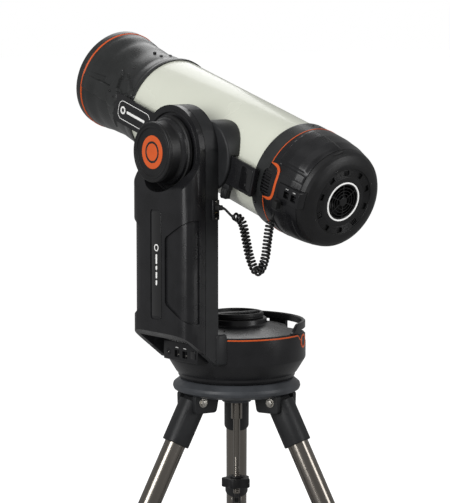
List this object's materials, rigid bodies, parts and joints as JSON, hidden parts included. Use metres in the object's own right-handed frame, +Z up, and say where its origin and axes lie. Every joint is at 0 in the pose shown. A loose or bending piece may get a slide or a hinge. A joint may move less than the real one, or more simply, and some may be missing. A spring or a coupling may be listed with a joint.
{
  "type": "smart schmidt telescope",
  "caption": "Smart Schmidt telescope with a camera at its front, on a single-arm motorised altazimuth mount and a folding steel tripod, with a curly lead.",
  "frame": {"origin": "on the floor, under the middle of the object's outline", "axes": "+Z up, +Y the way the tube points, +X away from the arm"},
  "size_m": [0.6556, 0.7657, 1.215],
  "materials": {
    "black_plastic": "satin moulded",
    "grey_casting": "satin powder coat",
    "cream_paint": "semi-gloss",
    "brushed_steel": "brushed",
    "black_rubber": "matte",
    "coated_glass": "multi-coated",
    "mirror_coat": "polished",
    "brass": "machined",
    "white_lens": "translucent",
    "orange_plastic": "satin",
    "black_metal": "semi-gloss anodised"
  },
  "bodies": {
    "tripod": {"tripod_head": "grey_casting", "center_rod": "brushed_steel", "azimuth_post": "brushed_steel", "azimuth_gear": "brass"},
    "rod_knob": {"rod_knob": "black_plastic"},
    "brace_hub": {"brace_hub": "black_plastic"},
    "turntable": {"base_housing": "black_plastic", "base_deck": "grey_casting", "ring_handle": "black_plastic", "port_panel": "black_plastic", "battery_pack": "black_plastic", "arm_frame": "grey_casting", "arm_shell": "black_plastic", "arm_socket": "black_plastic", "arm_plug": "black_rubber", "cord_lead": "black_rubber", "cord_coil": "black_rubber"},
    "power_button": {"power_button": "black_plastic"},
    "azimuth_knob": {"azimuth_knob": "black_plastic"},
    "azimuth_worm": {"azimuth_worm": "brushed_steel"},
    "altitude_knob": {"altitude_knob": "black_plastic"},
    "altitude_worm": {"altitude_worm": "brushed_steel"},
    "tube": {"altitude_shaft": "brushed_steel", "altitude_gear": "brass", "saddle": "black_metal", "dovetail_bar": "black_metal", "main_tube": "cream_paint", "front_cell": "black_metal", "front_ring": "black_metal", "corrector_plate": "coated_glass", "camera_barrel": "black_metal", "rear_ring": "black_metal", "rear_shell": "black_plastic", "rear_cap": "black_plastic", "vent_grille": "black_plastic", "port_block": "black_plastic", "light_ring": "white_lens", "focus_screw": "brushed_steel", "tube_plug": "black_rubber"},
    "saddle_jaw": {"saddle_jaw": "black_metal"},
    "jaw_knob": {"jaw_knob": "black_plastic"},
    "fan": {"fan": "black_plastic"},
    "primary_mirror": {"primary_mirror": "mirror_coat"},
    "filter_drawer": {"filter_drawer": "black_plastic"},
    "leg_1": {"leg_cap_1": "black_metal", "leg_tube_1": "brushed_steel"},
    "lower_leg_1": {"lower_leg_1": "brushed_steel"},
    "clamp_knob_1": {"clamp_knob_1": "black_plastic"},
    "brace_link_1": {"brace_link_1": "black_metal"},
    "leg_2": {"leg_cap_2": "black_metal", "leg_tube_2": "brushed_steel"},
    "lower_leg_2": {"lower_leg_2": "brushed_steel"},
    "clamp_knob_2": {"clamp_knob_2": "black_plastic"},
    "brace_link_2": {"brace_link_2": "black_metal"},
    "leg_3": {"leg_cap_3": "black_metal", "leg_tube_3": "brushed_steel"},
    "lower_leg_3": {"lower_leg_3": "brushed_steel"},
    "clamp_knob_3": {"clamp_knob_3": "black_plastic"},
    "brace_link_3": {"brace_link_3": "black_metal"}
  },
  "joints": [
    {"name": "azimuth", "type": "hinge", "parent": "tripod", "child": "turntable", "pos_m": [0.066, -0.008, 0.6], "axis": [0, 0, 1], "continuous": true},
    {"name": "altitude", "type": "hinge", "parent": "turntable", "child": "tube", "pos_m": [0.066, -0.008, 1.013], "axis": [1, 0, 0], "range_deg": [-21.6, 73.4], "deforming": ["cord_coil", "cord_lead"]},
    {"name": "rod_knob_turn", "type": "hinge", "parent": "tripod", "child": "rod_knob", "pos_m": [0.066, -0.008, 0.4125], "axis": [0, 0, 1], "continuous": true},
    {"name": "azimuth_knob_turn", "type": "hinge", "parent": "turntable", "child": "azimuth_knob", "pos_m": [0.066, -0.008, 0.715], "axis": [0, 0, 1], "range_deg": [0, 270]},
    {"name": "azimuth_worm_turn", "type": "hinge", "parent": "turntable", "child": "azimuth_worm", "pos_m": [0.0135, -0.008, 0.663], "axis": [0, 1, 0], "continuous": true},
    {"name": "altitude_knob_turn", "type": "hinge", "parent": "turntable", "child": "altitude_knob", "pos_m": [-0.099, -0.008, 1.013], "axis": [1, 0, 0], "range_deg": [0, 270]},
    {"name": "altitude_worm_turn", "type": "hinge", "parent": "turntable", "child": "altitude_worm", "pos_m": [-0.061, -0.008, 0.9605], "axis": [0, 1, 0], "continuous": true},
    {"name": "power_button_press", "type": "slide", "parent": "turntable", "child": "power_button", "axis": [-0.5446, 0.8387, 0], "range_m": [0, 0.0015], "stiffness_N_per_m": 400, "springref_m": -0.001},
    {"name": "jaw_slide", "type": "slide", "parent": "tube", "child": "saddle_jaw", "axis": [0, 0.2857, -0.9583], "range_m": [0, 0.0025]},
    {"name": "jaw_knob_turn", "type": "hinge", "parent": "saddle_jaw", "child": "jaw_knob", "pos_m": [-0.024, -0.08771, 0.94437], "axis": [0, -0.2857, 0.9583], "range_deg": [0, 720]},
    {"name": "fan_spin", "type": "hinge", "parent": "tube", "child": "fan", "pos_m": [0.072, -0.27172, 0.93855], "axis": [0, 0.9583, 0.2857], "continuous": true},
    {"name": "focus_travel", "type": "slide", "parent": "tube", "child": "primary_mirror", "axis": [0, 0.9583, 0.2857], "range_m": [0, 0.01]},
    {"name": "filter_drawer_slide", "type": "slide", "parent": "tube", "child": "filter_drawer", "axis": [1, 0, 0], "range_m": [0, 0.028]},
    {"name": "leg_1_fold", "type": "hinge", "parent": "tripod", "child": "leg_1", "pos_m": [0.12134, 0.05913, 0.569], "axis": [0.7716, -0.6361, 0], "range_deg": [-23, 0]},
    {"name": "leg_1_extend", "type": "slide", "parent": "leg_1", "child": "lower_leg_1", "axis": [0.2888, 0.3503, -0.891], "range_m": [0, 0.25]},
    {"name": "clamp_knob_1_turn", "type": "hinge", "parent": "leg_1", "child": "clamp_knob_1", "pos_m": [0.22963, 0.1905, 0.23487], "axis": [0.5667, 0.6875, 0.454], "range_deg": [0, 360]},
    {"name": "brace_link_1_fold", "type": "hinge", "parent": "brace_hub", "child": "brace_link_1", "pos_m": [0.08508, 0.01515, 0.30504], "axis": [0.7716, -0.6361, 0], "range_deg": [0, 57.89]},
    {"name": "leg_2_fold", "type": "hinge", "parent": "tripod", "child": "leg_2", "pos_m": [-0.01981, 0.00636, 0.569], "axis": [0.165, 0.9863, 0], "range_deg": [-23, 0]},
    {"name": "leg_2_extend", "type": "slide", "parent": "leg_2", "child": "lower_leg_2", "axis": [-0.4478, 0.0749, -0.891], "range_m": [0, 0.25]},
    {"name": "clamp_knob_2_turn", "type": "hinge", "parent": "leg_2", "child": "clamp_knob_2", "pos_m": [-0.18772, 0.03446, 0.23487], "axis": [-0.8788, 0.1471, 0.454], "range_deg": [0, 360]},
    {"name": "brace_link_2_fold", "type": "hinge", "parent": "brace_hub", "child": "brace_link_2", "pos_m": [0.03641, -0.00305, 0.30504], "axis": [0.165, 0.9863, 0], "range_deg": [0, 57.89]},
    {"name": "leg_3_fold", "type": "hinge", "parent": "tripod", "child": "leg_3", "pos_m": [0.09647, -0.08949, 0.569], "axis": [-0.9367, -0.3502, 0], "range_deg": [-23, 0]},
    {"name": "leg_3_extend", "type": "slide", "parent": "leg_3", "child": "lower_leg_3", "axis": [0.159, -0.4252, -0.891], "range_m": [0, 0.25]},
    {"name": "clamp_knob_3_turn", "type": "hinge", "parent": "leg_3", "child": "clamp_knob_3", "pos_m": [0.15609, -0.24896, 0.23487], "axis": [0.312, -0.8346, 0.454], "range_deg": [0, 360]},
    {"name": "brace_link_3_fold", "type": "hinge", "parent": "brace_hub", "child": "brace_link_3", "pos_m": [0.07651, -0.0361, 0.30504], "axis": [-0.9367, -0.3502, 0], "range_deg": [0, 57.89]},
    {"name": "brace_hub_slide", "type": "slide", "parent": "tripod", "child": "brace_hub", "axis": [0, 0, 1], "range_m": [-0.0973, 0]}
  ],
  "couplings": [
    {"joint": "azimuth_worm_turn", "follows": "azimuth", "ratio": 26},
    {"joint": "altitude_worm_turn", "follows": "altitude", "ratio": 26},
    {"joint": "jaw_knob_turn", "follows": "jaw_slide", "rad_per_m": 5021.5},
    {"joint": "brace_link_1_fold", "follows": "leg_1_fold", "ratio": -2.4994},
    {"joint": "brace_link_2_fold", "follows": "leg_1_fold", "ratio": -2.4994},
    {"joint": "leg_2_fold", "follows": "leg_1_fold", "ratio": 1},
    {"joint": "brace_link_3_fold", "follows": "leg_1_fold", "ratio": -2.4994},
    {"joint": "leg_3_fold", "follows": "leg_1_fold", "ratio": 1},
    {"joint": "brace_hub_slide", "follows": "leg_1_fold", "m_per_rad": 0.2399}
  ]
}
